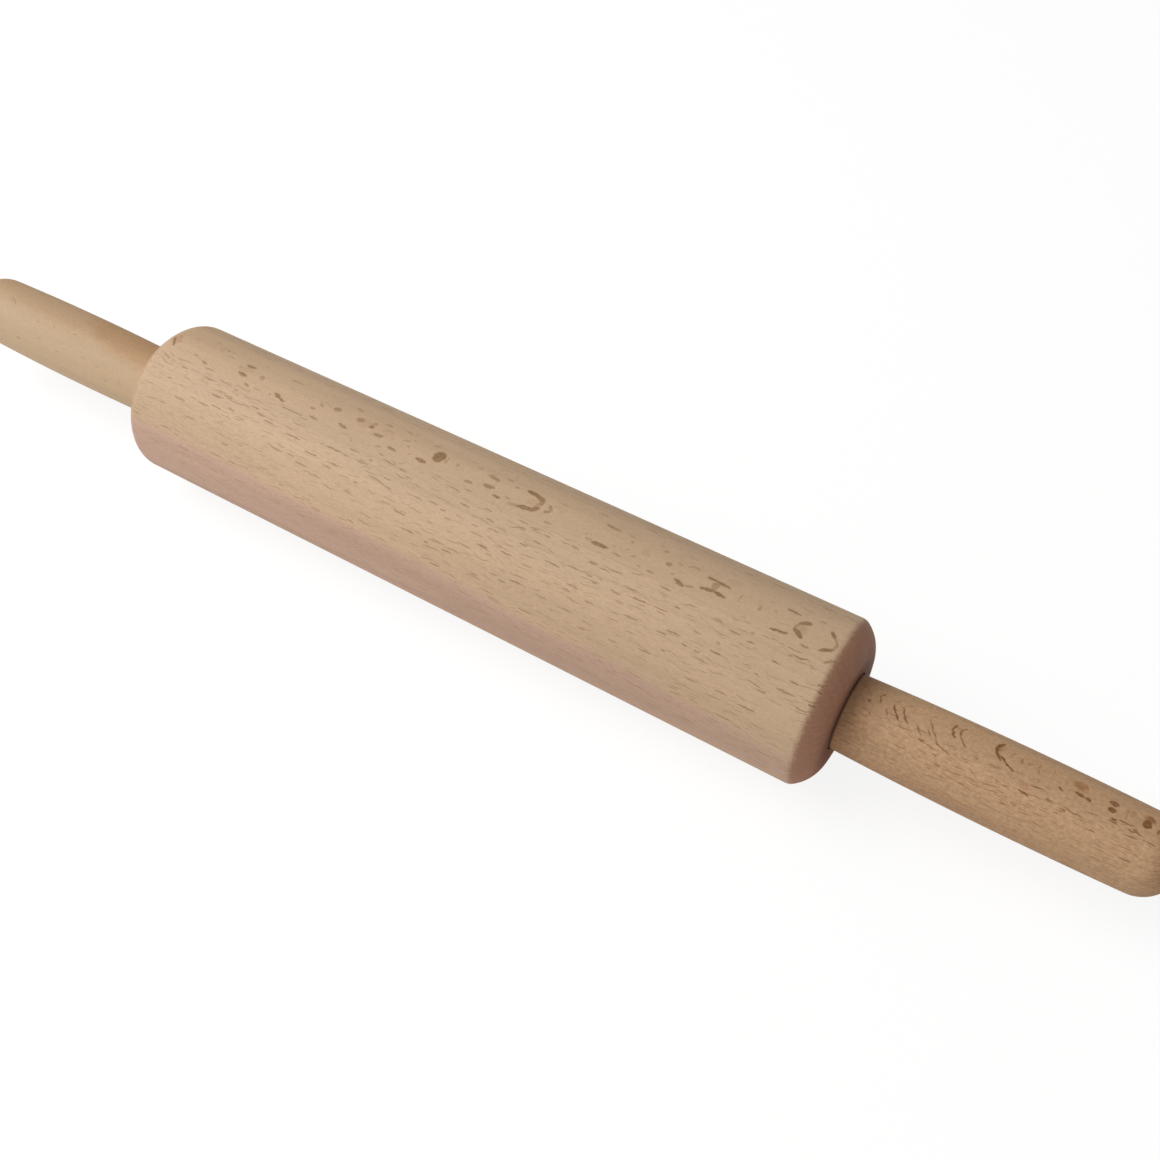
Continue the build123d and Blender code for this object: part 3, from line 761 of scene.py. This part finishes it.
class ROLLING_PIN_OT_barrel(bpy.types.Operator):
    """Turn the barrel with its shoulders, bore and bush pockets, and finish it in beech"""
    bl_idname = "rolling_pin.barrel"
    bl_label = "Barrel"

    def execute(self, context):
        s = context.scene.rolling_pin_barrel
        end, straight = s.length / 2, s.length / 2 - s.shoulder_length
        foot, floor = s.radius - s.shoulder_drop, end - s.recess_depth
        bush_start, flange_start = floor - BUSH_LENGTH, floor - FLANGE_THICKNESS
        bm = bmesh.new()
        inside = run(bm, (
            (0.0, BORE_RADIUS), (bush_start, BORE_RADIUS), (bush_start, BUSH_RADIUS),
            (flange_start, BUSH_RADIUS), (flange_start, FLANGE_RADIUS), (floor, FLANGE_RADIUS),
            (floor, s.recess_radius), (end, s.recess_radius), (end, foot)))
        chord = Vector((-s.shoulder_length, s.shoulder_drop))
        rise = math.sqrt(s.shoulder_curve ** 2 - (chord.length / 2) ** 2)
        middle = Vector((end, foot)) + chord / 2
        centre = middle + Vector((-chord.y, chord.x)).normalized() * rise
        sweep = 2 * math.asin(chord.length / 2 / s.shoulder_curve)
        top = arc(bm, inside[-1], centre, -sweep, SHOULDER_STEPS)
        crown = bm.verts.new((0.0, 0.0, s.radius))
        bm.edges.new((top, crown))
        bmesh.ops.mirror(bm, geom=bm.verts[:] + bm.edges[:], axis="X", merge_dist=MIRROR_MERGE)
        turn(bm)
        ease_rims(bm, [(side * x, r) for side in (1, -1)
                       for x, r in ((straight, s.radius), (end, foot))], s.rim_edge)
        dashes = tuple((x, a, length, DASH_WIDTH, 0, depth)
                       for x, a, length, depth in BARREL_DASHES)
        wood = beech("beech_turned_and_sanded_barrel", BARREL_CUT,
                     BARREL_FLECKS + spread(BARREL_STROKES, BARREL_CUT["radius"]) + dashes,
                     BARREL_STAINS_AND_SHADE, s.wood, s.lower_side_tint, s.stain_and_shade, s.ray)
        finish_piece(bm, "barrel_beech_shell", wood, "barrel", "barrel")
        return {"FINISHED"}


class ROLLING_PIN_OT_handles(bpy.types.Operator):
    """Turn both handles with their swell, round tip and blind bore, and finish them in beech"""
    bl_idname = "rolling_pin.handles"
    bl_label = "Handles"

    def execute(self, context):
        s = context.scene.rolling_pin_handles
        start, end = HANDLE_LOW.x, HANDLE_HIGH.x
        tip_start = end - s.tip_length
        bore_end = start + ROD_BORE_DEPTH
        woods = {
            1: beech("beech_turned_and_sanded_right_handle", RIGHT_CUT,
                     RIGHT_HANDLE_FLECKS + spread(RIGHT_HANDLE_STROKES, RIGHT_CUT["radius"]),
                     RIGHT_HANDLE_STAINS, s.right_wood, s.right_lower_side_tint, s.right_stain, s.ray),
            -1: beech("beech_turned_and_sanded_left_handle", LEFT_CUT,
                      LEFT_HANDLE_FLECKS + spread(LEFT_HANDLE_STROKES, LEFT_CUT["radius"]),
                      LEFT_HANDLE_STAINS_AND_SHADE, s.left_wood, s.left_wood, s.left_stain_and_shade, s.ray)}
        # The grip is one arc through the neck, the belly and the start of the tip
        a = Vector((start, s.neck_radius))
        b = Vector((start + s.belly_distance, s.belly_radius))
        c = Vector((tip_start, s.shoulder_radius))
        ab, ac = b - a, c - a
        twist = 2 * ab.cross(ac)
        centre = a + Vector((
            ac.y * ab.length_squared - ab.y * ac.length_squared,
            ab.x * ac.length_squared - ac.x * ab.length_squared)) / twist
        sweep = abs((a - centre).angle(c - centre))
        for side, word in ((1, "right"), (-1, "left")):
            bm = bmesh.new()
            inside = run(bm, ((bore_end, 0.0), (bore_end, ROD_RADIUS), (start, ROD_RADIUS),
                              (start, s.neck_radius)))
            last = arc(bm, inside[-1], centre, sweep, GRIP_STEPS)
            known = set(bm.verts)
            arc(bm, last, (tip_start, 0.0), math.pi / 2, TIP_STEPS)
            tip = [v for v in bm.verts if v not in known]
            bmesh.ops.scale(bm, vec=(s.tip_length / s.shoulder_radius, 1.0, 1.0), verts=tip,
                            space=Matrix.Translation((-tip_start, 0.0, 0.0)))
            turn(bm)
            ease_rims(bm, [(start, s.neck_radius)], s.neck_edge)
            if side < 0:
                bmesh.ops.rotate(bm, cent=(0.0, 0.0, 0.0), verts=bm.verts,
                                 matrix=Matrix.Rotation(math.pi, 3, "Z"))
            finish_piece(bm, word + "_handle_beech_shell", woods[side], "handles",
                         word + "_handle")
        return {"FINISHED"}


class ROLLING_PIN_OT_rod(bpy.types.Operator):
    """Finish the rod in drawn steel"""
    bl_idname = "rolling_pin.rod"
    bl_label = "Rod"

    def execute(self, context):
        # Bright steel bar, drawn through a die: grey metal with fine lines along its length
        # that stretch its highlights. The lines, in truth 0.05 mm apart, are drawn 0.3 mm wide
        # so that they show.
        material, node = new_material("steel_drawn_bright")
        place = node("TexCoord").outputs["Object"]
        lines = node("Mapping", {"Vector": place, "Scale": (30.0, 3300.0, 3300.0)})
        lines = node("TexNoise", {"Vector": lines, "Scale": 1.0, "Detail": 2.0})
        rough = node("MapRange", {"Value": lines.outputs[0], "To Min": 0.22, "To Max": 0.42})
        bump = node("Bump", {"Height": lines.outputs[0], "Strength": 0.2, "Distance": 0.00002})
        steel = context.scene.rolling_pin_fittings.steel
        tint = node("MapRange", {"Value": lines.outputs[0], "To Min": 0.92, "To Max": 1.04})
        base = node("VectorMath", {0: tuple(steel), "Scale": tint}, operation="SCALE")
        shader = node("BsdfPrincipled", {
            "Base Color": base, "Metallic": 1.0, "Roughness": rough, "Normal": bump})
        node("OutputMaterial", {"Surface": shader})
        dress("axle_rod", material)
        return {"FINISHED"}


class ROLLING_PIN_OT_bushes(bpy.types.Operator):
    """Finish both bushes in natural nylon"""
    bl_idname = "rolling_pin.bushes"
    bl_label = "Bushes"

    def execute(self, context):
        # Natural nylon 6, moulded: milky cream, a little see-through, with a soft satin face
        material = nylon("nylon_moulded_natural", context.scene.rolling_pin_fittings.bush, 0.42)
        dress("left_bush", material)
        dress("right_bush", material)
        return {"FINISHED"}


class ROLLING_PIN_OT_washers(bpy.types.Operator):
    """Finish both washers in dark nylon"""
    bl_idname = "rolling_pin.washers"
    bl_label = "Washers"

    def execute(self, context):
        # Dark brown nylon, stamped from sheet: a dull face, hidden in the recess
        material = nylon("nylon_stamped_dark", context.scene.rolling_pin_fittings.washer, 0.55)
        dress("left_washer", material)
        dress("right_washer", material)
        return {"FINISHED"}


def nylon(name, tint, roughness):
    """Nylon with faint clouding, 2 mm across, and the fine grain of the tool's face."""
    material, node = new_material(name)
    place = node("TexCoord").outputs["Object"]
    clouds = node("TexNoise", {"Vector": place, "Scale": 500.0, "Detail": 2.0})
    shade = node("MapRange", {"Value": clouds.outputs[0], "To Min": 0.93, "To Max": 1.05})
    base = node("VectorMath", {0: tuple(tint), "Scale": shade}, operation="SCALE")
    grit = node("TexNoise", {"Vector": place, "Scale": 6000.0, "Detail": 1.0})
    rough = node("MapRange", {"Value": grit.outputs[0], "To Min": roughness - 0.06,
                              "To Max": roughness + 0.06})
    bump = node("Bump", {"Height": grit.outputs[0], "Strength": 0.15, "Distance": 0.00003})
    shader = node("BsdfPrincipled", {
        "Base Color": base, "Roughness": rough, "Normal": bump, "IOR": 1.53})
    node("OutputMaterial", {"Surface": shader})
    return material


def dress(node, material):
    """Gives a solid of the frame a better material in each of its slots."""
    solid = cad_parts[node]
    for place in solid.material_slots:
        place.material = material


WHITE = (1.0, 1.0, 1.0, 1.0)
FLOOR_REACH = 3.0
FLOOR_GAP = 0.02 * MM
# White of the floor where the camera sees it: strength, and share beside the painted board
FLOOR_WHITE, FLOOR_WHITE_SHARE = 1.08, 0.80
# Towards the darker side of the studio, and how much brighter and darker its sides are
SKY_DARK_SIDE, SKY_SPAN, SKY_FRONT, SKY_BACK = (0.35, 0.7, 0.0), 0.7, 1.4, 0.6
KEY_TOWARDS, KEY_DISTANCE, KEY_SIZE = (-0.60, -0.24, 0.75), 1.2, 1.1
# The camera's place, and its heading from +Y towards -X and tilt down in degrees
CAMERA_PLACE = (0.17136, -0.21321, 0.30267)
CAMERA_HEADING, CAMERA_TILT = 31.74138, 50.13261
CAMERA_LENS, CAMERA_SENSOR = 40.655, 36.0
CAMERA_SHIFT = (-0.00431, 0.00086)


class ROLLING_PIN_OT_stage(bpy.types.Operator):
    """Set up the floor, the soft light and the camera"""
    bl_idname = "rolling_pin.stage"
    bl_label = "Stage"

    def execute(self, context):
        s = context.scene.rolling_pin_stage
        scene = context.scene
        scene.view_settings.view_transform = "Standard"

        # Painted white board: matt, with the white of a studio floor where the camera sees it
        material, node = new_material("board_painted_white")
        place = node("TexCoord").outputs["Object"]
        mottle = node("TexNoise", {"Vector": place, "Scale": 3.0, "Detail": 2.0})
        shade = node("MapRange", {"Value": mottle.outputs[0], "To Min": 0.99, "To Max": 1.01})
        base = node("VectorMath", {0: tuple(s.floor), "Scale": shade}, operation="SCALE")
        paint = node("BsdfDiffuse", {"Color": base})
        white = node("Emission", {"Color": WHITE, "Strength": FLOOR_WHITE})
        rays = node("LightPath")
        share = node("Math", {0: rays.outputs["Is Camera Ray"], 1: FLOOR_WHITE_SHARE},
                     operation="MULTIPLY")
        surface = node("MixShader", {0: share, 1: paint, 2: white})
        node("OutputMaterial", {"Surface": surface})
        bm = bmesh.new()
        bmesh.ops.create_grid(bm, x_segments=1, y_segments=1, size=FLOOR_REACH)
        bmesh.ops.translate(bm, verts=bm.verts, vec=(0.0, 0.0, SOLID_BOX[0].z - FLOOR_GAP))
        mesh = bpy.data.meshes.new("floor")
        bm.to_mesh(mesh)
        bm.free()
        floor = bpy.data.objects.new("floor", mesh)
        mesh.materials.append(material)
        scene.collection.objects.link(floor)

        # Even light from all round, white where the camera sees it
        world = bpy.data.worlds.new("studio")
        world.use_nodes = True
        world.node_tree.nodes.clear()
        node = functools.partial(add, world.node_tree)
        rays = node("LightPath")
        # The studio is brighter in front and to the left
        side = node("VectorMath", {0: node("TexCoord").outputs["Generated"],
                                   1: SKY_DARK_SIDE}, operation="DOT_PRODUCT")
        side = node("MapRange", {
            "Value": side.outputs["Value"], "From Min": -SKY_SPAN, "From Max": SKY_SPAN,
            "To Min": SKY_FRONT * s.sky, "To Max": SKY_BACK * s.sky},
            interpolation_type="SMOOTHSTEP")
        level = node("Math", {0: side, 1: rays.outputs["Is Camera Ray"]}, operation="MAXIMUM")
        sky = node("Background", {"Color": WHITE, "Strength": level})
        node("OutputWorld", {"Surface": sky})
        scene.world = world

        # One large soft light over the left end, a little in front
        light = bpy.data.lights.new("key_light", "AREA")
        light.energy = s.key_power
        light.shape = "DISK"
        light.size = KEY_SIZE
        key = bpy.data.objects.new("key_light", light)
        away = Vector(KEY_TOWARDS).normalized()
        key.location = away * KEY_DISTANCE
        key.rotation_mode = "QUATERNION"
        key.rotation_quaternion = away.to_track_quat("Z", "Y")
        scene.collection.objects.link(key)

        # A long lens looking down over the right end, level across
        camera = bpy.data.cameras.new("camera")
        camera.sensor_width = CAMERA_SENSOR
        camera.lens = CAMERA_LENS
        camera.shift_x, camera.shift_y = CAMERA_SHIFT
        camera.clip_start, camera.clip_end = 0.01, 20.0
        eye = bpy.data.objects.new("camera", camera)
        turned = Euler((math.radians(90 - CAMERA_TILT), 0.0, math.radians(CAMERA_HEADING)))
        eye.matrix_world = Matrix.Translation(CAMERA_PLACE) @ turned.to_matrix().to_4x4()
        scene.collection.objects.link(eye)
        scene.camera = eye
        return {"FINISHED"}


class VIEW3D_PT_rolling_pin(bpy.types.Panel):
    """Sizes, colours and steps of the rolling pin"""
    bl_idname = "VIEW3D_PT_rolling_pin"
    bl_label = "Rolling Pin"
    bl_space_type = "VIEW_3D"
    bl_region_type = "UI"
    bl_category = "Rolling Pin"

    def draw(self, context):
        for group in GROUPS:
            box = self.layout.box()
            settings = getattr(context.scene, group)
            box.label(text=GROUPS[group][1])
            for name in GROUPS[group][0].__annotations__:
                box.prop(settings, name)
        for operator in OPERATORS:
            self.layout.operator(operator.bl_idname)


GROUPS = {
    "rolling_pin_barrel": (BarrelSettings, "Barrel"),
    "rolling_pin_handles": (HandleSettings, "Handles"),
    "rolling_pin_fittings": (FittingSettings, "Fittings"),
    "rolling_pin_stage": (StageSettings, "Stage"),
}
OPERATORS = (
    ROLLING_PIN_OT_barrel, ROLLING_PIN_OT_handles, ROLLING_PIN_OT_rod, ROLLING_PIN_OT_bushes,
    ROLLING_PIN_OT_washers, ROLLING_PIN_OT_stage)


def register():
    for group, (settings, _) in GROUPS.items():
        bpy.utils.register_class(settings)
        setattr(bpy.types.Scene, group, bpy.props.PointerProperty(type=settings))
    for operator in OPERATORS:
        bpy.utils.register_class(operator)
    bpy.utils.register_class(VIEW3D_PT_rolling_pin)


def unregister():
    bpy.utils.unregister_class(VIEW3D_PT_rolling_pin)
    for operator in reversed(OPERATORS):
        bpy.utils.unregister_class(operator)
    for group, (settings, _) in reversed(GROUPS.items()):
        delattr(bpy.types.Scene, group)
        bpy.utils.unregister_class(settings)


def main():
    register()
    bpy.ops.rolling_pin.barrel()
    bpy.ops.rolling_pin.handles()
    bpy.ops.rolling_pin.rod()
    bpy.ops.rolling_pin.bushes()
    bpy.ops.rolling_pin.washers()
    bpy.ops.rolling_pin.stage()


if __name__ == "__main__":
    main()
